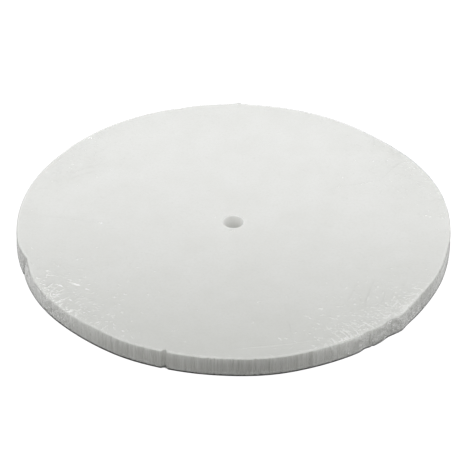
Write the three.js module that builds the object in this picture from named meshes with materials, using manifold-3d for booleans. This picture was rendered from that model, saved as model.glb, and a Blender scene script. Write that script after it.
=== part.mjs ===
// A hard-pressed wool felt polishing wheel for a lapidary flat lap, as it comes from the
// maker: one thick felt disc with a plain arbor hole, inside a clear shrink-film wrap.
// Millimetres, +Z up. The origin is the centre of the underside, on the arbor axis.

import * as THREE from 'three';
import { mergeVertices } from 'three/addons/utils/BufferGeometryUtils.js';
import Module from 'manifold-3d';

const wasm = await Module();
wasm.setup();

// ---------------------------------------------------------------- driving dimensions

const WHEEL_DIAMETER = 406.4; // a 16 inch wheel
const WHEEL_THICKNESS = 19.05; // 3/4 inch felt
const ARBOR_HOLE_DIAMETER = 19.05; // for a 3/4 inch arbor
const RIM_EDGE_ROUND = 1.2; // where the faces turn over into the rim
const HOLE_EDGE_ROUND = 0.6;

const FILM_THICKNESS = 0.2; // stands in for a film of a few hundredths
const FILM_GAP = 0.2; // air left between the film and the felt
const FILM_OPENING_DIAMETER = 22; // the film is cut open over the arbor hole
const SEAL_HEIGHT = 4.4; // the trim seal lies low on the rim
const SEAL_BEAD_DIAMETER = 0.7;
const SEAL_GAP = 0.3; // between the bead and each web's edge

// Nicks that the round cut left in the rim, each through the full thickness. The first
// is the step where the cut starts and stops. Azimuths are degrees from +X towards +Y.
const RIM_NICKS = [
  { azimuth: -106.9, width: 5.4, depth: 2.6 },
  { azimuth: -162, width: 4.2, depth: 1.6 },
  { azimuth: -52, width: 2.6, depth: 1.2 },
];

const TURN_STEPS = 96; // facets round every turned piece
const RIM_ROUND_STEPS = 3;
const HOLE_ROUND_STEPS = 2;
const BEAD_SIDES = 6;

// ---------------------------------------------------------------- derived sizes

const WHEEL_RADIUS = WHEEL_DIAMETER / 2;
const HOLE_RADIUS = ARBOR_HOLE_DIAMETER / 2;
const FELT_BOTTOM = FILM_THICKNESS + FILM_GAP;
const FELT_TOP = FELT_BOTTOM + WHEEL_THICKNESS;
const WRAP_TOP = FELT_TOP + FILM_GAP + FILM_THICKNESS;
const FILM_INNER_RADIUS = WHEEL_RADIUS + FILM_GAP;
const FILM_OUTER_RADIUS = FILM_INNER_RADIUS + FILM_THICKNESS;
const SEAL_CLEARANCE = SEAL_BEAD_DIAMETER / 2 + SEAL_GAP;

// ---------------------------------------------------------------- materials

const feltMaterial = new THREE.MeshStandardMaterial({
  color: 0xdfe0dc,
  roughness: 0.95,
  metalness: 0,
});

function filmMaterial(opacity) {
  return new THREE.MeshStandardMaterial({
    color: 0xf4f6f5,
    roughness: 0.15,
    metalness: 0,
    transparent: true,
    opacity,
  });
}

// ---------------------------------------------------------------- shape helpers

// Points on a quarter round or any other arc, in the (radius, height) plane.
function arc(radius, height, size, fromDegrees, toDegrees, steps) {
  const points = [];
  for (let i = 0; i <= steps; i += 1) {
    const share = i / steps;
    const angle = THREE.MathUtils.degToRad(fromDegrees + (toDegrees - fromDegrees) * share);
    points.push(new THREE.Vector2(radius + size * Math.cos(angle), height + size * Math.sin(angle)));
  }
  return points;
}

// Turns a profile that runs anticlockwise in (radius, height) about the arbor axis.
function turned(profile) {
  const geometry = new THREE.LatheGeometry([...profile, profile[0]], TURN_STEPS);
  return geometry.rotateX(Math.PI / 2);
}

function toSolid(geometry) {
  const bare = geometry.clone();
  bare.deleteAttribute('normal');
  bare.deleteAttribute('uv');
  const merged = mergeVertices(bare);
  return new wasm.Manifold(
    new wasm.Mesh({
      numProp: 3,
      vertProperties: merged.attributes.position.array,
      triVerts: merged.index.array,
    }),
  );
}

function toGeometry(solid) {
  const mesh = solid.getMesh();
  const geometry = new THREE.BufferGeometry();
  geometry.setAttribute('position', new THREE.BufferAttribute(mesh.vertProperties, 3));
  geometry.setIndex(new THREE.BufferAttribute(mesh.triVerts, 1));
  geometry.computeVertexNormals();
  return geometry;
}

function named(name, geometry, material) {
  const mesh = new THREE.Mesh(geometry, material);
  mesh.name = name;
  return mesh;
}

// ---------------------------------------------------------------- felt disc

function discProfile() {
  const outer = WHEEL_RADIUS - RIM_EDGE_ROUND;
  const inner = HOLE_RADIUS + HOLE_EDGE_ROUND;
  const rimLow = FELT_BOTTOM + RIM_EDGE_ROUND;
  const rimHigh = FELT_TOP - RIM_EDGE_ROUND;
  const holeLow = FELT_BOTTOM + HOLE_EDGE_ROUND;
  const holeHigh = FELT_TOP - HOLE_EDGE_ROUND;
  return [
    ...arc(outer, rimLow, RIM_EDGE_ROUND, -90, 0, RIM_ROUND_STEPS),
    ...arc(outer, rimHigh, RIM_EDGE_ROUND, 0, 90, RIM_ROUND_STEPS),
    ...arc(inner, holeHigh, HOLE_EDGE_ROUND, 90, 180, HOLE_ROUND_STEPS),
    ...arc(inner, holeLow, HOLE_EDGE_ROUND, 180, 270, HOLE_ROUND_STEPS),
  ];
}

// A V-shaped cutter that stands through the rim, its point towards the arbor axis.
function nickCutter({ azimuth, width, depth }) {
  const overrun = 1;
  const halfWidth = (width / 2) * (1 + overrun / depth);
  const shape = new THREE.Shape();
  shape.moveTo(WHEEL_RADIUS - depth, 0);
  shape.lineTo(WHEEL_RADIUS + overrun, -halfWidth);
  shape.lineTo(WHEEL_RADIUS + overrun, halfWidth);
  shape.closePath();
  const prism = new THREE.ExtrudeGeometry(shape, {
    depth: WHEEL_THICKNESS + 2 * overrun,
    bevelEnabled: false,
  });
  prism.translate(0, 0, FELT_BOTTOM - overrun);
  return prism.rotateZ(THREE.MathUtils.degToRad(azimuth));
}

function feltDisc() {
  let disc = toSolid(turned(discProfile()));
  for (const nick of RIM_NICKS) {
    disc = disc.subtract(toSolid(nickCutter(nick)));
  }
  return named('felt_disc', toGeometry(disc), feltMaterial);
}

// ---------------------------------------------------------------- shrink film

// One web: a flat ring over a face of the felt, drawn round the rim's edge into a skirt
// that ends at skirtEdge. outerFace is the height of the web's outside.
function filmWeb(name, outerFace, skirtEdge) {
  const side = Math.sign(outerFace - skirtEdge);
  const round = RIM_EDGE_ROUND + FILM_GAP;
  const centre = FILM_INNER_RADIUS - round;
  const bend = outerFace - side * (round + FILM_THICKNESS);
  const opening = FILM_OPENING_DIAMETER / 2;
  const profile = [
    new THREE.Vector2(FILM_OUTER_RADIUS, skirtEdge),
    ...arc(centre, bend, round + FILM_THICKNESS, 0, side * 90, RIM_ROUND_STEPS),
    new THREE.Vector2(opening, outerFace),
    new THREE.Vector2(opening, outerFace - side * FILM_THICKNESS),
    ...arc(centre, bend, round, side * 90, 0, RIM_ROUND_STEPS),
    new THREE.Vector2(FILM_INNER_RADIUS, skirtEdge),
  ];
  if (side < 0) {
    profile.reverse();
  }
  return named(name, turned(profile), filmMaterial(0.18));
}

// The hot-wire seal that joins the two webs is a thin bead round the rim.
function sealBead() {
  const radius = SEAL_BEAD_DIAMETER / 2;
  const profile = arc(FILM_INNER_RADIUS + radius, SEAL_HEIGHT, radius, 0, 360, BEAD_SIDES);
  profile.pop();
  return named('film_seal_bead', turned(profile), filmMaterial(0.4));
}

// ---------------------------------------------------------------- assembly

const wheel = new THREE.Group();
wheel.add(feltDisc());
wheel.add(filmWeb('film_upper_web', WRAP_TOP, SEAL_HEIGHT + SEAL_CLEARANCE));
wheel.add(filmWeb('film_lower_web', 0, SEAL_HEIGHT - SEAL_CLEARANCE));
wheel.add(sealBead());

export default wheel;
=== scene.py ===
"""The looks of a hard felt polishing wheel in its clear shrink-film wrap.

Everything is in metres in the row frame: the wheel lies on z = 0 with its arbor hole on
the Z axis, and the camera stands on the -Y side. Azimuths run from +X towards +Y.
"""

import math

import bpy
import numpy as np
from mathutils import Matrix, Vector
from mathutils.geometry import delaunay_2d_cdt


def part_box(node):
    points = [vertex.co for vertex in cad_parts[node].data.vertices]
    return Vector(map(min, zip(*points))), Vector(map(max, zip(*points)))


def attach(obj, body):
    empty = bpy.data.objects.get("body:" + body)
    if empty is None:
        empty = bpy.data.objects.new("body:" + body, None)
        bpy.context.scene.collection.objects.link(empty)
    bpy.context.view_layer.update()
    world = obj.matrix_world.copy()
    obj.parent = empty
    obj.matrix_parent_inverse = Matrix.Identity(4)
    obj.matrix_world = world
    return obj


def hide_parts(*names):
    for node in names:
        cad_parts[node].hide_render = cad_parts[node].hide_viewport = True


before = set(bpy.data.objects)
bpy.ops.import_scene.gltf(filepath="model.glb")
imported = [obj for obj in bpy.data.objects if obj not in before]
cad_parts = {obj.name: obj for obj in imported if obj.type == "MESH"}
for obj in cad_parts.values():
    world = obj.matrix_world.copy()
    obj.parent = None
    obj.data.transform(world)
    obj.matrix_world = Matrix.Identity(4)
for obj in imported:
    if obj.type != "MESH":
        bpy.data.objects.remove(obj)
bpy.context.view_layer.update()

MM = 0.001
FELT_LOW, FELT_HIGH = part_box("felt_disc")
WRAP_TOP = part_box("film_upper_web")[1].z
SKIRT_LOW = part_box("film_upper_web")[0].z
SKIRT_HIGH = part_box("film_lower_web")[1].z
HALF_FILM = 0.1 * MM  # half the CAD web's thickness: the film of the looks lies in its middle
FELT_RADIUS = FELT_HIGH.x
FILM_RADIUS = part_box("film_upper_web")[1].x - HALF_FILM
HOLE_RADIUS = 9.525 * MM  # of a 3/4 in arbor hole
SEED = 1811


# ------------------------------------------------------------------ camera, floor, light

CAMERA_STAND = Vector((0.0, -1.68266, WRAP_TOP + 1.21466))
CAMERA_AIM = Vector((0.0017, -0.0216, WRAP_TOP))
CAMERA_ROLL = math.radians(0.723)
CAMERA_LENS = 168.75

STAGE_REACH = 6.0  # of the paper, its walls and the table, to each side
SHADOW_LEVEL = -0.01 * MM
PAPER_LEVEL = -0.02 * MM
MAT_LEVEL = -0.06 * MM
TABLE_LEVEL = -0.1 * MM
MAT_REACH = 0.13
SHADOW_HOLE = 14 * MM  # the contact shadow's inner radius, clear of the arbor hole
SHADOW_INSET = 0.7 * MM  # how far it stays inside the wheel's outside at the front
SHADOW_SPREAD = 0.6 * MM  # how much less that is at the sides
SHADOW_STEPS = 1200


def add_camera():
    data = bpy.data.cameras.new("camera")
    data.sensor_width = 36.0
    data.lens = CAMERA_LENS
    data.clip_end = 50.0
    camera = bpy.data.objects.new("camera", data)
    bpy.context.scene.collection.objects.link(camera)
    forward = (CAMERA_AIM - CAMERA_STAND).normalized()
    level = forward.cross(Vector((0, 0, 1))).normalized()
    right = level * math.cos(CAMERA_ROLL) + level.cross(forward) * math.sin(CAMERA_ROLL)
    up = right.cross(forward)
    turn = Matrix((right, up, -forward)).transposed().to_4x4()
    camera.matrix_world = Matrix.Translation(CAMERA_STAND) @ turn
    bpy.context.scene.camera = camera


def add_plane(name, reach, height, material):
    mesh = bpy.data.meshes.new(name)
    corners = [(-reach, -reach, 0), (reach, -reach, 0), (reach, reach, 0), (-reach, reach, 0)]
    mesh.from_pydata(corners, [], [(0, 1, 2, 3)])
    plane = bpy.data.objects.new(name, mesh)
    plane.location.z = height
    bpy.context.scene.collection.objects.link(plane)
    mesh.materials.append(material)
    return plane


def stage_material(name, grey, glow=0.0):
    """A matt grey, which also shines white by glow, like paper that is lit from behind."""
    t = Tree(name)
    t.shader.inputs["Base Color"].default_value = (grey, grey, grey, 1)
    t.shader.inputs["Roughness"].default_value = 0.9
    t.shader.inputs["Emission Color"].default_value = (1, 1, 1, 1)
    t.shader.inputs["Emission Strength"].default_value = glow
    return t.material


def add_backdrop(material):
    """Five walls of the same paper that only the camera sees, for the views from low down."""
    corners = ((-1, -1), (1, -1), (1, 1), (-1, 1))
    levels = (PAPER_LEVEL, STAGE_REACH)
    points = [(x * STAGE_REACH, y * STAGE_REACH, z) for z in levels for x, y in corners]
    walls = [(i, (i + 1) % 4, (i + 1) % 4 + 4, i + 4) for i in range(4)]
    mesh = bpy.data.meshes.new("backdrop")
    mesh.from_pydata(points, [], walls + [(4, 5, 6, 7)])
    mesh.materials.append(material)
    backdrop = bpy.data.objects.new("backdrop", mesh)
    bpy.context.scene.collection.objects.link(backdrop)
    backdrop.visible_diffuse = False
    backdrop.visible_glossy = False
    backdrop.visible_shadow = False


def add_contact_shadow():
    """The paper right under the wheel, which the light behind it doesn't reach."""
    turn = np.linspace(-math.pi, math.pi, SHADOW_STEPS, endpoint=False)
    rim = FILM_RADIUS - SHADOW_INSET + SHADOW_SPREAD * np.abs(np.cos(turn))
    outer = rim + out_of_round(turn, rim) - NICK_FOLLOWED * nick_depth(turn, 0.0)
    points = []
    for radius in (outer, np.full(SHADOW_STEPS, SHADOW_HOLE)):
        points.append(np.stack([radius * np.cos(turn), radius * np.sin(turn), 0 * turn], 1))
    here = np.arange(SHADOW_STEPS)
    after = (here + 1) % SHADOW_STEPS
    faces = np.stack([here, after, after + SHADOW_STEPS, here + SHADOW_STEPS], 1).tolist()
    shadow = add_mesh("floor_shadow", np.concatenate(points), faces, stage_material("shadow", 0.02))
    shadow.location.z = SHADOW_LEVEL
    shadow.visible_diffuse = False
    shadow.visible_shadow = False


def add_floor():
    """The camera sees the white paper. The rim is lit by the dark table, and the hole by the mat."""
    paper = add_plane("floor_paper", STAGE_REACH, PAPER_LEVEL, stage_material("paper", 0.2, 0.95))
    paper.visible_diffuse = False
    paper.visible_shadow = False
    add_backdrop(paper.data.materials[0])
    add_contact_shadow()
    mat = add_plane("floor_mat", MAT_REACH, MAT_LEVEL, stage_material("mat", 0.85, 0.2))
    table = add_plane("floor_table", STAGE_REACH, TABLE_LEVEL, stage_material("table", 0.05))
    for hidden in (mat, table):
        hidden.visible_camera = False
        hidden.visible_glossy = False


def add_area_light(name, place, aim, size, power):
    data = bpy.data.lights.new(name, "AREA")
    data.shape = "RECTANGLE"
    data.size, data.size_y = size
    data.energy = power
    light = bpy.data.objects.new(name, data)
    light.location = place
    turn = (Vector(aim) - Vector(place)).to_track_quat("-Z", "Y")
    light.rotation_euler = turn.to_euler()
    bpy.context.scene.collection.objects.link(light)
    return light


def add_lights():
    """A grey room, a strip overhead, and three lights that only glossy surfaces see."""
    world = bpy.data.worlds.new("studio")
    world.use_nodes = True
    back = world.node_tree.nodes["Background"]
    back.inputs["Color"].default_value = (1.0, 1.0, 0.99, 1)
    back.inputs["Strength"].default_value = 0.65
    bpy.context.scene.world = world
    strip = add_area_light("strip", (0, 0.234, 0.557), (0, 0.822, -0.253), (2.4, 0.8), 4.4)
    strip.data.color = (1.0, 0.985, 1.04)
    shine = [
        add_area_light("reflector", (0, 0.62, 1.1), (0, 0, 0), (1.7, 0.45), 5.0),
        add_area_light("glint_left", (-0.45, 0.51, 0.99), (-0.15, -0.1, 0), (0.24, 0.24), 0.8),
        add_area_light("glint_right", (0.55, 0.85, 1.1), (0.12, -0.1, 0), (0.26, 0.26), 0.65),
    ]
    for light in shine:
        light.visible_diffuse = False
    bpy.context.scene.view_settings.view_transform = "Standard"


# ------------------------------------------------------------------ node helpers


class Tree:
    """Builds a material's nodes with short calls."""

    def __init__(self, name):
        self.material = bpy.data.materials.new(name)
        self.material.use_nodes = True
        self.tree = self.material.node_tree
        self.shader = self.tree.nodes["Principled BSDF"]
        self.output = self.tree.nodes["Material Output"]

    def node(self, kind, values=None, **settings):
        made = self.tree.nodes.new(kind)
        for key, value in settings.items():
            setattr(made, key, value)
        for key, value in (values or {}).items():
            if isinstance(value, bpy.types.NodeSocket):
                self.tree.links.new(value, made.inputs[key])
            else:
                made.inputs[key].default_value = value
        return made

    def link(self, source, target):
        self.tree.links.new(source, target)

    def math(self, operation, a, b=0.0, clamp=False):
        made = self.node("ShaderNodeMath", {0: a, 1: b}, operation=operation)
        made.use_clamp = clamp
        return made.outputs[0]

    def scaled(self, vector, factors):
        made = self.node("ShaderNodeVectorMath", {0: vector, 1: factors}, operation="MULTIPLY")
        return made.outputs[0]

    def height_of(self, vector):
        return self.node("ShaderNodeSeparateXYZ", {0: vector}).outputs["Z"]

    def flatness(self):
        """1 where the surface is level, and 0 where it stands upright."""
        normal = self.node("ShaderNodeNewGeometry").outputs["Normal"]
        return self.math("ABSOLUTE", self.height_of(normal))

    def noise(self, vector, scale, detail, roughness):
        values = {"Vector": vector, "Scale": scale, "Detail": detail, "Roughness": roughness}
        return self.node("ShaderNodeTexNoise", values).outputs["Fac"]

    def spread(self, value, low, high, new_low=0.0, new_high=1.0):
        made = self.node(
            "ShaderNodeMapRange",
            {
                "Value": value,
                "From Min": low,
                "From Max": high,
                "To Min": new_low,
                "To Max": new_high,
            },
        )
        return made.outputs[0]

    def mix_colours(self, factor, first, second):
        made = self.node("ShaderNodeMix", data_type="RGBA")
        for index, value in ((0, factor), (6, first), (7, second)):
            if isinstance(value, bpy.types.NodeSocket):
                self.link(value, made.inputs[index])
            else:
                made.inputs[index].default_value = value
        return made.outputs[2]


# ------------------------------------------------------------------ materials

WOOL = (0.905, 0.91, 0.885, 1)
WOOL_CLOUD = (0.875, 0.88, 0.85, 1)
WOOL_LUMP = (0.82, 0.825, 0.79, 1)
CUT_PALE = (0.92, 0.925, 0.9, 1)
CUT_DARK = (0.66, 0.66, 0.625, 1)
# painted shade: the rim darker low down
RIM_PAINTED_SHADE = (0.45, 0.45, 0.42, 1)
# painted light: the rim paler near its top, as if lit from above
RIM_PAINTED_LIGHT = (0.97, 0.975, 0.95, 1)
# painted contact shade at the rim's foot
RIM_FOOT_SHADE = (0.15, 0.15, 0.14, 1)
WALL_PALE = (0.975, 0.98, 0.96, 1)
WALL_DARK = (0.88, 0.885, 0.86, 1)
# painted shade deep in the hole
WALL_DEEP_SHADE = (0.6, 0.6, 0.57, 1)

FILM_GLOSS = (0.97, 0.975, 0.97, 1)
FILM_CLEAR = (0.99, 0.992, 0.99, 1)
# painted shade on one side of a fold, where the film also lies double
FILM_FOLD_SHADE = (0.84, 0.845, 0.83, 1)
# painted contact shade at the rim's foot
FILM_FOOT_SHADE = (0.2, 0.2, 0.19, 1)
# painted shade along the rim's outline
FILM_OUTLINE_SHADE = (0.35, 0.35, 0.34, 1)


def wool_fibres(t, place):
    """Matted strands, 1 on a strand: three bent noises, each drawn out in its own direction."""
    warp = t.node("ShaderNodeTexNoise", {"Vector": place, "Scale": 180.0, "Detail": 2.0})
    bent = t.node(
        "ShaderNodeVectorMath",
        {0: t.scaled(warp.outputs["Color"], (0.006, 0.006, 0.006)), 1: place},
        operation="ADD",
    ).outputs[0]
    fibres = None
    for turn in (0.3, 1.35, 2.4):
        turned = t.node(
            "ShaderNodeVectorRotate", {"Vector": bent, "Angle": turn}, rotation_type="Z_AXIS"
        ).outputs[0]
        strands = t.noise(t.scaled(turned, (420.0, 2600.0, 2600.0)), 1.0, 2.0, 0.6)
        ridged = t.spread(t.math("ABSOLUTE", t.math("SUBTRACT", strands, 0.5)), 0.0, 0.12, 1.0, 0.0)
        fibres = ridged if fibres is None else t.math("MAXIMUM", fibres, ridged)
    return fibres


def face_colour(t, place, lumps):
    """White wool with faint clouding and darker lumps."""
    clouds = t.noise(place, 38.0, 4.0, 0.6)
    colour = t.mix_colours(t.spread(clouds, 0.35, 0.7), WOOL, WOOL_CLOUD)
    return t.mix_colours(t.spread(lumps, 0.45, 0.75, 0.0, 0.55), colour, WOOL_LUMP)


def wall_colour(t, level, streaks):
    """The hole's wall: pale above, and painted shade further down in the hole."""
    colour = t.mix_colours(t.spread(streaks, 0.35, 0.65, 0.0, 0.5), WALL_PALE, WALL_DARK)
    # painted shade: the wall darker deeper in the hole
    return t.mix_colours(t.spread(level, 6 * MM, 17 * MM, 0.55, 0.0), colour, WALL_DEEP_SHADE)


def rim_colour(t, place, level, streaks):
    """The cut rim: upright streaks; painted shade lower down and painted light near the top; each
    place's own colour, partly painted light and shade, read from a point attribute; and painted
    contact shade at the foot.
    """
    broad = t.noise(t.scaled(place, (170.0, 170.0, 6.0)), 1.0, 2.0, 0.5)
    broad_share = t.spread(broad, 0.4, 0.65, 0.0, 0.25)
    cut = t.math("ADD", t.spread(streaks, 0.36, 0.66, 0.0, 0.75), broad_share)
    colour = t.mix_colours(cut, CUT_PALE, CUT_DARK)
    # painted shade: the rim darker towards its foot
    colour = t.mix_colours(t.spread(level, 1 * MM, 17 * MM, 0.3, 0.0), colour, RIM_PAINTED_SHADE)
    # painted light: the rim's upper part paler
    colour = t.mix_colours(t.spread(level, 13.5 * MM, 19 * MM, 0.0, 0.3), colour, RIM_PAINTED_LIGHT)
    # partly the felt's own uneven colour, partly painted light and shade at each place
    tone_and_shade = t.node("ShaderNodeAttribute", attribute_name="tone_and_shade").outputs["Fac"]
    colour = t.scaled(colour, t.math("ADD", tone_and_shade, 1.0))
    # painted contact shade: a dark band at the rim's foot
    return t.mix_colours(t.spread(level, 0.3 * MM, 1.8 * MM, 0.85, 0.0), colour, RIM_FOOT_SHADE)


def felt_material():
    """Pressed white wool on the face, in the hole and on the cut rim."""
    t = Tree("felt_wool")
    place = t.node("ShaderNodeTexCoord").outputs["Object"]
    level = t.height_of(place)
    flat = t.flatness()
    reach = t.node("ShaderNodeVectorMath", {0: t.scaled(place, (1, 1, 0))}, operation="LENGTH")
    reach = reach.outputs["Value"]
    on_rim = t.math("MULTIPLY", t.spread(flat, 0.85, 0.35), t.math("GREATER_THAN", reach, 0.1))
    in_hole = t.spread(reach, HOLE_RADIUS + 0.02 * MM, HOLE_RADIUS + 0.25 * MM, 1.0, 0.0)

    fibres = wool_fibres(t, place)
    lumps = t.noise(place, 420.0, 3.0, 0.6)
    streaks = t.noise(t.scaled(place, (900.0, 900.0, 22.0)), 1.0, 3.0, 0.65)
    inside = t.mix_colours(in_hole, face_colour(t, place, lumps), wall_colour(t, level, streaks))
    colour = t.mix_colours(on_rim, inside, rim_colour(t, place, level, streaks))
    t.link(colour, t.shader.inputs["Base Color"])

    t.link(t.spread(fibres, 0.0, 1.0, 0.97, 0.84), t.shader.inputs["Roughness"])
    t.shader.inputs["Specular IOR Level"].default_value = 0.25
    t.shader.inputs["Sheen Weight"].default_value = 0.25
    t.shader.inputs["Sheen Roughness"].default_value = 0.5

    depth = t.math("ADD", t.math("MULTIPLY", fibres, 0.5), t.math("MULTIPLY", lumps, 0.9))
    fine = t.node("ShaderNodeBump", {"Height": depth, "Strength": 0.5, "Distance": 0.12 * MM})
    cuts = t.node(
        "ShaderNodeBump",
        {
            "Height": t.math("MULTIPLY", streaks, on_rim),
            "Strength": 0.8,
            "Distance": 0.5 * MM,
            "Normal": fine.outputs[0],
        },
    )
    t.link(cuts.outputs[0], t.shader.inputs["Normal"])
    return t.material


def film_material(name, least, roughness):
    """Clear shrink film: see-through and glossy. It is hazier where it is bunched ("bunch"), duller
    where it bends over the rim ("edge"), and greyer on one side of a fold ("fold"), where it lies
    double and where shade is painted. Its tint also holds painted shade at the rim's foot and along
    the rim's outline.
    least is the share of it that covers what is under it even where it is clear."""
    t = Tree(name)
    place = t.node("ShaderNodeTexCoord").outputs["Object"]
    level = t.height_of(place)
    flat = t.flatness()
    bunch = t.node("ShaderNodeAttribute", attribute_name="bunch").outputs["Fac"]
    edge = t.node("ShaderNodeAttribute", attribute_name="edge").outputs["Fac"]
    fold = t.node("ShaderNodeAttribute", attribute_name="fold").outputs["Fac"]

    ripple = t.noise(place, 260.0, 3.0, 0.5)
    crumple = t.noise(place, 700.0, 2.0, 0.5)
    height = t.math("ADD", t.math("MULTIPLY", ripple, 0.2), t.math("MULTIPLY", crumple, bunch))
    bump = t.node("ShaderNodeBump", {"Height": height, "Strength": 1.0, "Distance": 0.25 * MM})
    t.link(bump.outputs[0], t.shader.inputs["Normal"])
    smear = t.spread(t.noise(place, 60.0, 3.0, 0.6), 0.3, 0.7, roughness, roughness + 0.06)
    dull = t.math("ADD", smear, t.math("MULTIPLY", edge, 0.35))
    t.link(dull, t.shader.inputs["Roughness"])
    t.shader.inputs["Base Color"].default_value = FILM_GLOSS
    t.shader.inputs["Metallic"].default_value = 0.85

    # how much of the film is gloss and haze, and not clear
    fresnel = t.node("ShaderNodeFresnel", {"IOR": 1.5, "Normal": bump.outputs[0]}).outputs[0]
    bend = t.math("MULTIPLY", edge, t.spread(flat, 0.25, 0.6, 0.0, 0.85))
    gloss = t.math("MULTIPLY", t.math("MINIMUM", fresnel, 0.5), t.math("SUBTRACT", 1.0, bend))
    patches = t.noise(place, 240.0, 2.0, 0.6)
    haze = t.math("MULTIPLY", bunch, t.spread(patches, 0.38, 0.68, 0.06, 0.33))
    cover = t.math("ADD", t.math("ADD", gloss, haze), least, clamp=True)
    # painted contact shade: the film's gloss and haze are cut at the rim's foot
    low_rim_shade = t.math("MULTIPLY", edge, t.spread(level, 0.3 * MM, 2.5 * MM, 0.95, 0.0))
    cover = t.math("MULTIPLY", cover, t.math("SUBTRACT", 1.0, low_rim_shade))

    # where the rim turns away from the eye the film is seen edge-on, and it is painted dark there:
    # painted shade along the rim's outline
    away = t.node("ShaderNodeLayerWeight", {"Blend": 0.5}).outputs["Facing"]
    upright = t.spread(flat, 0.2, 0.6, 1.0, 0.0)
    lengthways_shade = t.math("MULTIPLY", t.spread(away, 0.82, 0.93, 0.0, 0.6), upright)
    cover = t.math("MULTIPLY", cover, t.math("SUBTRACT", 1.0, lengthways_shade))

    # painted shade: the film greyer on one side of each fold, where it also lies double
    tint = t.mix_colours(fold, FILM_CLEAR, FILM_FOLD_SHADE)
    # painted contact shade: the film tinted dark at the rim's foot
    foot = t.math("MULTIPLY", edge, t.spread(level, 0.2 * MM, 1.4 * MM, 0.5, 0.0))
    tint = t.mix_colours(foot, tint, FILM_FOOT_SHADE)
    # painted shade along the outline, where the film is seen edge-on
    tint = t.mix_colours(lengthways_shade, tint, FILM_OUTLINE_SHADE)
    clear = t.node("ShaderNodeBsdfTransparent", {"Color": tint}).outputs[0]
    mixed = t.node("ShaderNodeMixShader", {0: cover, 1: clear, 2: t.shader.outputs[0]})
    t.link(mixed.outputs[0], t.output.inputs["Surface"])
    return t.material


# ------------------------------------------------------------------ mesh helpers


def add_mesh(name, points, faces, material):
    mesh = bpy.data.meshes.new(name)
    mesh.from_pydata(points.tolist(), [], faces)
    mesh.polygons.foreach_set("use_smooth", [True] * len(mesh.polygons))
    mesh.materials.append(material)
    mesh.update()
    piece = bpy.data.objects.new(name, mesh)
    bpy.context.scene.collection.objects.link(piece)
    return piece


def add_attribute(piece, name, values):
    """A value for each point, which the piece's material reads by its name."""
    attribute = piece.data.attributes.new(name, "FLOAT", "POINT")
    attribute.data.foreach_set("value", values)


def ring_faces(rings, steps):
    """Quads of a closed ring whose section runs anticlockwise, with normals that point out of it."""
    i, j = np.meshgrid(np.arange(rings), np.arange(steps), indexing="ij")
    i_next, j_next = (i + 1) % rings, (j + 1) % steps
    corners = [i * steps + j, i * steps + j_next, i_next * steps + j_next, i_next * steps + j]
    return np.stack([c.ravel() for c in corners], 1).tolist()


def waves(draw, count, shortest, longest):
    """A smooth random field over (x, y): a sum of sines, with values mostly within 1.5 of 0."""
    length = draw.uniform(shortest, longest, count)
    way = draw.uniform(0, 2 * math.pi, count)
    phase = draw.uniform(0, 2 * math.pi, count)
    turn = 2 * math.pi / length

    def field(x, y):
        total = np.zeros_like(x)
        for k in range(count):
            total += np.sin(turn[k] * (x * math.cos(way[k]) + y * math.sin(way[k])) + phase[k])
        return total / math.sqrt(count)

    return field


def angle_between(azimuth, centre):
    """Signed angle from centre to azimuth, in radians, within half a turn."""
    return (azimuth - centre + math.pi) % (2 * math.pi) - math.pi


def hills(azimuth, rows):
    """The sum of smooth hills at each azimuth. A row is a hill's azimuth and spread in degrees,
    and its height."""
    total = np.zeros_like(azimuth)
    for centre, spread, amount in rows:
        off = angle_between(azimuth, math.radians(centre)) / math.radians(spread)
        total += amount * np.exp(-(off**2))
    return total


# ------------------------------------------------------------------ felt disc

RIM_NICKS = (  # azimuth in degrees, width and depth in millimetres, share of the depth at the top
    (-106.9, 5.4, 3.4, 1.0),
    (-162.0, 5.0, 2.0, 0.1),
    (-52.0, 2.6, 1.8, 0.3),
)
RIM_ROUND_TOP = 0.9 * MM
RIM_ROUND_LOW = 2.0 * MM
HOLE_ROUND_TOP = 0.9 * MM
HOLE_ROUND_LOW = 0.6 * MM
RIM_CROWN = 0.5 * MM  # how far the rim bellies out at half height
RIM_STAND = 0.1 * MM  # how far all of it stands out before the waves and grooves are cut
RIM_WAVES = 0.12 * MM  # how deep the cut's waves go
RIM_FRAY = 0.14 * MM  # how much the rim's upper edge is frayed
FACE_WAVES = 0.06 * MM  # how far the upper face waves down
FOOT_WAVES = 0.03 * MM  # how far the underside waves up
GROOVES = 330
GROOVES_MIDDLE = math.radians(-84)  # where every sixth groove is, more or less

# Where the wheel is out of round: azimuth and spread in degrees, amount in millimetres.
OUT_OF_ROUND = (
    (-162, 4, -0.9),
    (-146, 9, 0.9),
    (-118, 7, 0.6),
    (-80, 9, 1.0),
    (-54, 1.6, -1.5),
    (-46.5, 1.6, -1.0),
    (-41.8, 2, 1.5),
    (-28, 9, -0.8),
    (16, 14, 1.4),
    (46, 10, -1.3),
    (72, 12, 0.4),
    (90, 48, 1.3),
    (30, 30, 1.3),
    (89, 2.4, 1.8),
    (106, 2.5, -1.2),
    (147, 10, -0.9),
)

# Where the rim is paler or greyer, partly its own uneven colour and partly painted light and shade,
# such as the painted shade in the dented notch at -163: azimuth and spread in degrees, share of its
# colour.
RIM_TONES_AND_SHADE = (
    (-163, 5, -0.12),
    (-131, 9, 0.16),
    (-113, 11, 0.1),
    (-86, 9, -0.08),
    (-72, 4, 0.06),
    (-61, 8, 0.13),
    (-46, 6, 0.06),
)

# Where the upper edge is worn down: azimuth and spread in degrees, amount in millimetres.
WORN_EDGE = ((-160, 6, 0.6), (-60, 4, 0.4), (-36, 7, 0.5), (-8, 6, 0.4), (40, 9, 0.4))

# Where the felt is rounded off under the bunched film, in the same way.
SOFT_EDGE = ((-139, 14, 0.7), (-47, 16, 0.3), (149, 12, 0.5), (28, 14, 0.5))

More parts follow.
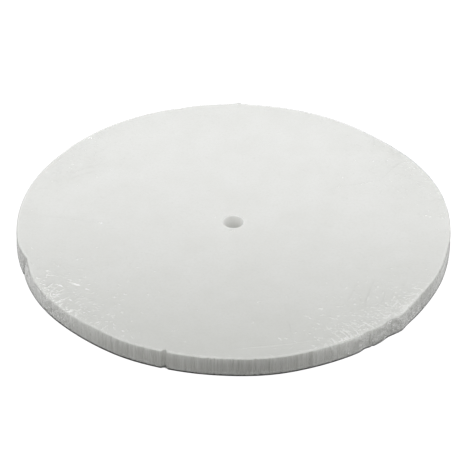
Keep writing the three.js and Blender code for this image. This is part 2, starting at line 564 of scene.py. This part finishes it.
# Where the top of the rim is pushed in: azimuth and spread in degrees, amount in millimetres.
DENTS = ((-161, 5.5, 3.0), (-33, 4, 0.9), (-13, 5, 0.8), (-126, 5, 0.7))


def nick_depth(azimuth, level):
    """How deep the nicks cut into the rim at each azimuth and level (0 at the foot, 1 at the top)."""
    depth = np.zeros_like(azimuth)
    for centre, width, deepest, at_top in RIM_NICKS:
        off = np.abs(angle_between(azimuth, math.radians(centre))) * FELT_RADIUS
        share = np.clip(1 - off / (0.5 * width * MM), 0, 1)
        deep = deepest * MM * (1 - (1 - at_top) * np.clip(level, 0, 1))
        depth = np.maximum(depth, deep * share**0.5)
    return depth


def out_of_round(azimuth, radius):
    """How far the wheel's outside stands out at each place; it fades towards the middle."""
    outer_part = np.clip((radius / FELT_RADIUS - 0.7) / 0.3, 0, 1)
    return hills(azimuth, OUT_OF_ROUND) * MM * outer_part


def dented(azimuth, radius, level):
    """How far the rim is pushed in at each level, and the face beside it, less and less."""
    outer_part = np.clip((radius / FELT_RADIUS - 0.88) / 0.12, 0, 1)
    return hills(azimuth, DENTS) * MM * outer_part * np.clip(level, 0, 1) ** 2


def droop(azimuth, radius, worn=WORN_EDGE):
    """How far the upper face sinks towards the rim, all round and where it is worn."""
    all_round = 0.1 * MM * np.clip((radius / FELT_RADIUS - 0.92) / 0.08, 0, 1) ** 2
    near_edge = np.clip((radius / FELT_RADIUS - 0.97) / 0.03, 0, 1) ** 2
    return all_round + hills(azimuth, worn) * MM * near_edge


def arc_rows(radius, height, size, start, end, steps, rim):
    """Rows of the section round a corner of centre (radius, height), angles in degrees."""
    turn = np.radians(np.linspace(start, end, steps))
    return [(radius + size * math.cos(a), height + size * math.sin(a), rim) for a in turn]


def felt_profile():
    """The disc's section as rows of (radius, height, on the rim), clockwise from the hole's foot."""
    low, high = FELT_LOW.z, FELT_HIGH.z
    rim_top, rim_low = FELT_RADIUS - RIM_ROUND_TOP, FELT_RADIUS - RIM_ROUND_LOW
    hole_top, hole_low = HOLE_RADIUS + HOLE_ROUND_TOP, HOLE_RADIUS + HOLE_ROUND_LOW
    wall = np.linspace(low + HOLE_ROUND_LOW, high - HOLE_ROUND_TOP, 7)[1:-1]
    rim = np.linspace(high - RIM_ROUND_TOP, low + RIM_ROUND_LOW, 9)[1:-1]
    rows = [(HOLE_RADIUS, z, 0) for z in wall]
    rows += arc_rows(hole_top, high - HOLE_ROUND_TOP, HOLE_ROUND_TOP, 180, 90, 5, 0)
    rows += [(r, high, 0) for r in np.linspace(hole_top, rim_top, 9)[1:-1]]
    rows += arc_rows(rim_top, high - RIM_ROUND_TOP, RIM_ROUND_TOP, 90, 0, 6, 1)
    rows += [(FELT_RADIUS, z, 1) for z in rim]
    rows += arc_rows(rim_low, low + RIM_ROUND_LOW, RIM_ROUND_LOW, 0, -90, 5, 1)
    rows += [(r, low, 0) for r in np.linspace(rim_low, hole_low, 5)[1:-1]]
    rows += arc_rows(hole_low, low + HOLE_ROUND_LOW, HOLE_ROUND_LOW, 270, 180, 3, 0)
    return np.array(rows)


def rim_grooves(draw):
    """The cut's upright grooves: azimuth, half-width, depth, lean, and height where it is deepest."""
    made = []
    for number in range(GROOVES):
        azimuth = draw.uniform(-math.pi, math.pi)
        if number % 6 == 0:
            azimuth = GROOVES_MIDDLE + draw.normal(0, math.radians(9))
        half_width = draw.uniform(0.4, 1.3) * MM / FELT_RADIUS
        depth = min(0.12 + draw.gamma(1.4, 0.2), 1.1) * MM
        made.append((azimuth, half_width, depth, draw.normal(0, 0.04), draw.uniform(0.1, 0.9)))
    return made


def felt_azimuths(grooves):
    """Even steps round the rim, and finer ones across each nick and groove."""
    steps = [np.linspace(-math.pi, math.pi, 800, endpoint=False)]
    for centre, width, *_ in RIM_NICKS:
        reach = 0.7 * width * MM / FELT_RADIUS
        steps.append(math.radians(centre) + np.linspace(-reach, reach, 17))
    for azimuth, half_width, *_ in grooves:
        steps.append(azimuth + half_width * np.array([-1, -0.5, 0, 0.5, 1]))
    turn = (np.concatenate(steps) + math.pi) % (2 * math.pi) - math.pi
    turn = np.unique(np.round(turn, 4))
    return turn[np.append(True, np.diff(turn) > 0.0007)]


def add_felt_disc():
    """The felt wheel: its section turned round the axis, cut, worn and bent out of round."""
    draw = np.random.default_rng(SEED)
    grooves = rim_grooves(draw)
    profile = felt_profile()
    azimuth = felt_azimuths(grooves)
    radius, theta = np.meshgrid(profile[:, 0], azimuth, indexing="ij")
    height = np.repeat(profile[:, 1:2], len(azimuth), 1)
    on_rim = np.repeat(profile[:, 2:3], len(azimuth), 1)
    thickness = FELT_HIGH.z - FELT_LOW.z
    level = (height - FELT_LOW.z) / thickness

    cut_in = nick_depth(theta, level)
    for centre, half_width, depth, lean, deepest in grooves:
        off = angle_between(theta, centre) + lean * (level - 0.5) * thickness / FELT_RADIUS
        share = np.clip(1 - np.abs(off) / half_width, 0, 1)
        cut_in += depth * share * (1 - 0.6 * np.abs(level - deepest))
    along = theta * FELT_RADIUS
    cut_in += RIM_WAVES * np.maximum(0, 1 + waves(draw, 8, 10 * MM, 40 * MM)(along, 0.2 * height))
    crown = RIM_CROWN * (1 - (2 * level - 1) ** 2) + RIM_STAND
    radius = radius + out_of_round(theta, radius) + (crown - cut_in) * on_rim
    radius -= dented(theta, radius, level)

    x, y = radius * np.cos(theta), radius * np.sin(theta)
    sway = waves(draw, 10, 30 * MM, 110 * MM)(x, y)
    frayed = np.clip(waves(draw, 10, 3 * MM, 10 * MM)(along, 0 * along), -0.6, 2)
    edge = np.clip((radius - FELT_RADIUS + 3 * MM) / (3 * MM), 0, 1)
    sink = droop(theta, radius, WORN_EDGE + SOFT_EDGE) + RIM_FRAY * edge * (0.6 + frayed)
    z = height - level * (FACE_WAVES * (1 + sway) + sink) + (1 - level) * FOOT_WAVES * (1 + sway)

    points = np.stack([x.ravel(), y.ravel(), z.ravel()], 1)
    faces = [face[::-1] for face in ring_faces(len(profile), len(azimuth))]
    piece = add_mesh("felt_body", points, faces, felt_material())
    # what the rim's colour reads at each place: partly its own unevenness, partly painted light and
    # shade
    add_attribute(piece, "tone_and_shade", hills(theta, RIM_TONES_AND_SHADE).ravel())
    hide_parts("felt_disc")
    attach(piece, "root")


# ------------------------------------------------------------------ shrink film

FILM_BEND = 1.0 * MM  # the film's round over the rim's edge
FLAT_END = FILM_RADIUS - FILM_BEND
BEND_END = FLAT_END + FILM_BEND * math.pi / 2
OPENING = 10.6 * MM  # the radius of the film's opening over the arbor hole
CURL = 0.18 * MM  # the radius of the rolled edge round the opening
CURL_LENGTH = 0.8 * MM
FILM_CROWN = 0.3 * MM  # how far the film bellies out round the rim
FILM_FLOOR = 0.03 * MM  # no point of the film is lower than this
UNDER_LEVEL = 0.25 * MM  # of the lower web's flat part
NICK_FOLLOWED = 0.7  # the share of a nick's depth that the film follows

FACE_SPACING = 4.5 * MM  # between the web's even points on the face
SKIRT_SPACING = 1.6 * MM  # and down the rim
POINT_SPACING = 0.17 * MM  # no two points are closer than this
RIM_STEPS = 640

# How many folds are drawn: in a gather of strength 1, and all over the web.
GATHER_PLEATS = 36
GATHER_CRINKLES = 420
RIM_CRINKLES = 90
LOOSE_CRINKLES = 200
LOOSE_PLEATS = 60
KEPT_CLEAR = 5 * MM  # no drawn fold's middle is this close to that of a main one

# Where the square bag's corners were drawn in: azimuth, spread in degrees, strength.
GATHERS = ((-143, 15, 0.9), (-47, 17, 1.0), (28, 17, 0.7), (149, 14, 0.5))


def polar(azimuth, reach):
    """A place on the spread-out film, from degrees and millimetres."""
    return Vector((math.cos(math.radians(azimuth)), math.sin(math.radians(azimuth)))) * reach * MM


def crease(start, end, width, height, bow=0.0):
    """A fold: two ends (x, y) in metres, then its half-width, height and bow in millimetres."""
    return (*start, *end, width * MM, height * MM, bow * MM)


# The folds that stand out on the upper face: two ends, half-width, height, bow, in millimetres.
MAIN_CREASES = [
    ((-161, -98), (-151, -104), 1.2, 0.3, 0.2),
    ((-150, -94), (-137, -102), 1.5, 0.39, 0.2),
    ((-150, -91), (-143, -95), 1.0, 0.26, 0.0),
    ((-172, -78), (-166, -81), 1.5, 0.38, 0.0),
    ((-147, -120), (-143, -124), 1.1, 0.29, 0.0),
    ((-133, -105), (-128, -108), 1.3, 0.33, 0.0),
    ((-145, -112), (-151, -122), 0.8, 0.15, 1.0),
    ((-184, 3), (-152, 1), 2.4, 0.2, 2.2),
    ((-150, 2), (-114, -4), 2.2, 0.2, -2.0),
    ((-167, 69), (-128, 94), 2.4, 0.3, 2.2),
    ((-162, 64), (-132, 81), 2.4, 0.26, 2.0),
    ((-151, 1), (-147, -3), 1.0, 0.28, 0.0),
    ((-127, -2), (-122, -7), 1.2, 0.32, 0.0),
    ((92, 54), (112, 63), 1.1, 0.22, 0.8),
    ((112, 62), (142, 72), 1.1, 0.24, -0.8),
    ((142, 72), (160, 99), 1.1, 0.24, 1.0),
    ((112, -94), (100, -127), 1.6, 0.2, 1.5),
    ((131, -86), (119, -134), 1.8, 0.28, -2.5),
    ((139, -104), (131, -126), 1.3, 0.24, 1.0),
    ((124, -104), (116, -128), 1.2, 0.18, 0.8),
    ((-8, -190), (84, -173), 1.3, 0.075, -1.5),
    ((50, -150), (52, -168), 1.1, 0.2, 0.5),
    ((3, 199), (4, 209), 3.2, 0.9, 0.0),
    ((-18.5, 7.5), (-15, 6), 0.6, 0.15, 0.0),
    ((-5, -13.5), (1, -12.5), 0.6, 0.15, 0.2),
    ((-4, -15), (2, -14), 0.9, 0.22, 0.2),
]


def random_creases(draw):
    """Pleats over the rim and crinkles inside it, thick in the gathers and sparse elsewhere."""
    made = []
    for centre, spread, strength in GATHERS:
        for _ in range(int(GATHER_PLEATS * strength)):
            azimuth = centre + draw.normal(0, spread * 0.75)
            made.append(pleat(draw, azimuth, 203 - draw.gamma(2.0, 5.0), 2.0, 0.07, 0.28))
        for _ in range(int(GATHER_CRINKLES * strength)):
            azimuth = centre + draw.normal(0, spread * 0.65)
            reach = 202 - draw.gamma(1.7, 12.0)
            made.append(crinkle(draw, polar(azimuth, reach), 1.2, 4.5, 0.08, 0.34))
        for _ in range(int(RIM_CRINKLES * strength)):
            azimuth = centre + draw.normal(0, spread * 0.9)
            made.append(crinkle(draw, polar(azimuth, draw.uniform(203, 217)), 2.0, 7.0, 0.1, 0.45))
    for _ in range(LOOSE_CRINKLES):
        place = polar(draw.uniform(-180, 180), 195 * math.sqrt(draw.uniform(0.01, 1)))
        made.append(crinkle(draw, place, 1.5, 6.0, 0.04, 0.13))
    for _ in range(LOOSE_PLEATS):
        azimuth = draw.uniform(-180, 180)
        made.append(pleat(draw, azimuth, draw.uniform(194, 202), 0.8, 0.04, 0.1))
    return made


def pleat(draw, azimuth, inner, skew, lowest, highest):
    """A fold that runs out over the rim's edge and down its side."""
    return crease(
        polar(azimuth, inner),
        polar(azimuth + draw.normal(0, skew), draw.uniform(204, 216)),
        draw.uniform(0.5, 1.1),
        draw.uniform(lowest, highest),
        draw.normal(0, 0.5),
    )


def crinkle(draw, place, shortest, longest, lowest, highest):
    """A short fold at a place, in any direction."""
    half = 0.5 * draw.uniform(shortest, longest) * MM
    way = draw.uniform(0, math.pi)
    step = Vector((math.cos(way), math.sin(way))) * half
    return crease(
        place - step,
        place + step,
        draw.uniform(0.45, 0.95),
        draw.uniform(lowest, highest) * draw.uniform(0.4, 1.0),
        draw.normal(0, 0.3),
    )


def crease_points(creases):
    """Rows of points along each crease, close across its crest."""
    found = []
    for x0, y0, x1, y1, width, _, bow in creases:
        start, run = np.array([x0, y0]), np.array([x1 - x0, y1 - y0])
        length = math.hypot(*run)
        across = np.array([-run[1], run[0]]) / length
        share = np.linspace(0, 1, max(5, int(length / (0.8 * MM))))
        for side in (-1.0, -0.5, 0.0, 0.5, 1.0):
            shift = bow * 4 * share * (1 - share) + side * width
            found.append(start + share[:, None] * run + shift[:, None] * across)
    return np.concatenate(found)


def crease_heights(creases, x, y):
    """The film's lift over its creases at each point, how many meet there, and how much it lies
    double on one side of a crease, which its material also uses for painted shade.
    """
    lift = np.zeros_like(x)
    crowd = np.zeros_like(x)
    doubled_and_shaded = np.zeros_like(x)
    for x0, y0, x1, y1, width, height, bow in creases:
        run_x, run_y = x1 - x0, y1 - y0
        length = math.hypot(run_x, run_y)
        reach = 0.5 * length + width + abs(bow)
        near = np.flatnonzero(
            (np.abs(x - 0.5 * (x0 + x1)) < reach) & (np.abs(y - 0.5 * (y0 + y1)) < reach)
        )
        dx, dy = x[near] - x0, y[near] - y0
        share = np.clip((dx * run_x + dy * run_y) / length**2, 0, 1)
        off = (dy * run_x - dx * run_y) / length - bow * 4 * share * (1 - share)
        crest = np.clip(1 - np.abs(off) / width, 0, 1) ** 1.15
        taper = np.clip(4 * share * (1 - share), 0, 1) ** 0.7
        rise = height * crest * taper
        lift[near] = np.maximum(lift[near], rise) + 0.35 * np.minimum(lift[near], rise)
        crowd[near] += crest > 0
        steep = min(height / width / 0.35, 1.0)
        # one side of each fold: partly film lying double, partly painted shade
        doubled_and_shaded[near] = np.maximum(doubled_and_shaded[near], steep * crest * taper * (off < 0))
    return lift, crowd, doubled_and_shaded


def base_points(skirt):
    """The web's even points: wide on the face, close over the rim and round the opening."""
    rings = []
    for reach in np.arange(OPENING + 2 * MM, FLAT_END - 14 * MM, FACE_SPACING):
        rings.append((reach, max(24, int(2 * math.pi * reach / FACE_SPACING))))
    edge = np.concatenate(
        [
            np.linspace(FLAT_END - 13 * MM, FLAT_END, 8),
            np.linspace(FLAT_END, BEND_END, 6)[1:],
            np.linspace(BEND_END, BEND_END + skirt, max(3, int(skirt / SKIRT_SPACING)))[1:],
        ]
    )
    rings += [(reach, RIM_STEPS) for reach in edge]
    rings += [(OPENING - CURL_LENGTH * (1 - t), 110) for t in np.linspace(0, 1, 8)]
    rings += [(OPENING + t * MM, 90) for t in (0.4, 0.9)]
    found = []
    for number, (reach, steps) in enumerate(rings):
        turn = (np.arange(steps) + 0.5 * (number % 2)) * 2 * math.pi / steps
        found.append(np.stack([reach * np.cos(turn), reach * np.sin(turn)], 1))
    return np.concatenate(found)


def gather_strength(x, y):
    """From 0 to 1, how much the film is drawn in at each point."""
    azimuth, reach = np.arctan2(y, x), np.hypot(x, y)
    strength = np.zeros_like(x)
    for centre, spread, amount in GATHERS:
        off = angle_between(azimuth, math.radians(centre)) / math.radians(spread)
        strength = np.maximum(strength, amount * np.exp(-(off**2)))
    return strength * np.clip((reach - 0.14) / 0.06, 0, 1) ** 1.5


def thinned(points, spacing):
    """Points with at most one in each square of a grid; earlier ones win."""
    cells = np.round(points / spacing).astype(np.int64)
    _, first = np.unique(cells, axis=0, return_index=True)
    return points[np.sort(first)]


def on_web(x, y, lift, face, side, opening):
    """Folds the spread-out film over the wheel. face is the level of its flat part, side is 1 for
    the upper web and -1 for the lower, and lift is how far each point stands off."""
    azimuth, reach = np.arctan2(y, x), np.hypot(x, y)
    rolled = np.clip((OPENING - reach) / CURL, 0, None)
    bend = np.clip((reach - FLAT_END) / FILM_BEND, 0, math.pi / 2)
    drop = np.clip(reach - BEND_END, 0, None)
    flat = np.minimum(reach, FLAT_END)
    near_hole = np.clip(1 - (reach - OPENING) / (12 * MM), 0, 1) ** 2
    flat = np.where(
        reach < OPENING, opening - CURL * np.sin(rolled), flat + (opening - OPENING) * near_hole
    )
    radius = flat + FILM_BEND * np.sin(bend) + lift * np.sin(bend)
    down = FILM_BEND * (1 - np.cos(bend)) + drop
    rise = CURL * (1 - np.cos(rolled)) + lift * np.cos(bend)
    z = np.maximum(face - side * down + side * rise, FILM_FLOOR)
    radius += out_of_round(azimuth, radius) - dented(azimuth, radius, z / WRAP_TOP)
    belly = FILM_CROWN * (1 - (2 * z / WRAP_TOP - 1) ** 2)
    radius += (belly - NICK_FOLLOWED * nick_depth(azimuth, z / WRAP_TOP)) * np.sin(bend)
    if side > 0:
        z -= droop(azimuth, radius) * np.cos(bend)
    return np.stack([radius * np.cos(azimuth), radius * np.sin(azimuth), z], 1)


def add_film_web(name, face, side, skirt, creases, flatness, material, node):
    """One web of the film. flatness is how far its folds on the face are pressed down."""
    draw = np.random.default_rng(SEED + side)
    points = np.concatenate([crease_points(creases), base_points(skirt)])
    reach = np.hypot(points[:, 0], points[:, 1])
    inner, outer = OPENING - CURL_LENGTH, BEND_END + skirt
    within = (reach > inner - 0.01 * MM) & (reach < outer + 0.01 * MM)
    points = thinned(points[within], POINT_SPACING)
    triangles = delaunay_2d_cdt([Vector(p) for p in points], [], [], 0, 1e-9)
    places = np.array([tuple(p) for p in triangles[0]])
    faces = np.array(triangles[2])
    middle = places[faces].mean(1)
    faces = faces[np.hypot(middle[:, 0], middle[:, 1]) > inner * 0.999]

    x, y = places[:, 0], places[:, 1]
    reach = np.hypot(x, y)
    lift, crowd, doubled_and_shaded = crease_heights(creases, x, y)
    strength = gather_strength(x, y)
    swell = waves(draw, 12, 7 * MM, 22 * MM)(x, y)
    bulge = waves(draw, 10, 14 * MM, 40 * MM)(x, y)
    lift += 0.08 * MM * strength * (1 + swell)
    over_edge = np.clip((reach - FLAT_END) / (BEND_END - FLAT_END), 0, 1)
    lift *= flatness + (1 - flatness) * over_edge
    lift += 0.5 * MM * over_edge * strength * np.clip(bulge, 0, 2)
    lift *= np.clip((reach - OPENING) / (3 * MM), 0, 1)
    azimuth = np.arctan2(y, x)
    ragged = waves(draw, 5, 5 * MM, 16 * MM)(azimuth * OPENING, 0 * azimuth)
    opening = OPENING + 0.25 * MM * ragged

    folded = on_web(x, y, lift, face, side, opening)
    if side < 0:
        faces = faces[:, ::-1]
    piece = add_mesh(name, folded, faces.tolist(), material)
    by_rim = np.clip((reach - FLAT_END + 1.5 * MM) / (2 * MM), 0, 1)
    by_hole = np.clip((OPENING + 1.5 * MM - reach) / (1 * MM), 0, 1)
    bunched = np.clip(strength * (0.25 + 0.5 * over_edge) + 0.1 * crowd, 0, 1)
    add_attribute(piece, "bunch", bunched)
    add_attribute(piece, "edge", np.maximum(by_rim, by_hole))
    add_attribute(piece, "fold", doubled_and_shaded)
    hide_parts(node)
    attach(piece, "root")


def add_seal_bead():
    """The trim seal: a thin melted bead that wavers round the rim where the webs meet."""
    draw = np.random.default_rng(SEED + 7)
    low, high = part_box("film_seal_bead")
    steps, sides = 900, 10
    turn = np.linspace(-math.pi, math.pi, steps, endpoint=False)
    along = turn * FILM_RADIUS
    sway = waves(draw, 6, 40 * MM, 160 * MM)(along, 0 * along)
    beads = waves(draw, 8, 2 * MM, 7 * MM)(along, 0 * along)
    girth = 0.3 * MM + 0.05 * MM * beads
    rim = FILM_RADIUS + 0.4 * MM - NICK_FOLLOWED * nick_depth(turn, low.z / WRAP_TOP)
    centre = rim + out_of_round(turn, rim)
    middle = 0.5 * (low.z + high.z) + 0.25 * MM * sway
    round_it = np.linspace(0, 2 * math.pi, sides, endpoint=False)[:, None]
    radius = centre + girth * np.cos(round_it)
    z = middle + girth * np.sin(round_it)
    x, y = radius * np.cos(turn), radius * np.sin(turn)
    points = np.stack([x.ravel(), y.ravel(), z.ravel()], 1)
    film = film_material("seal_film", 0.04, 0.2)
    piece = add_mesh("seal_bead", points, ring_faces(sides, steps), film)
    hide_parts("film_seal_bead")
    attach(piece, "root")


def clear_of(main, others):
    """The other folds whose middle is not close to the middle of a main one."""
    middles = np.array([(0.5 * (c[0] + c[2]), 0.5 * (c[1] + c[3])) for c in main])

    def apart(fold):
        middle = np.array([0.5 * (fold[0] + fold[2]), 0.5 * (fold[1] + fold[3])])
        return np.min(np.hypot(*(middles - middle).T)) > KEPT_CLEAR

    return [fold for fold in others if apart(fold)]


def add_film():
    """Both webs: the upper one with the folds of the photo, the lower one pressed flatter."""
    draw = np.random.default_rng(SEED + 3)
    film = film_material("clear_film", 0.0, 0.05)
    upper = [crease(Vector(a) * MM, Vector(b) * MM, *shape) for a, b, *shape in MAIN_CREASES]
    upper += clear_of(upper, random_creases(draw))
    lower = random_creases(draw)
    top = WRAP_TOP - HALF_FILM
    upper_skirt = top - FILM_BEND - SKIRT_LOW
    lower_skirt = SKIRT_HIGH - UNDER_LEVEL - FILM_BEND
    add_film_web("film_over", top, 1, upper_skirt, upper, 1.0, film, "film_upper_web")
    add_film_web("film_under", UNDER_LEVEL, -1, lower_skirt, lower, 0.25, film, "film_lower_web")


# ------------------------------------------------------------------ build

add_camera()
add_floor()
add_lights()
add_felt_disc()
add_film()
add_seal_bead()
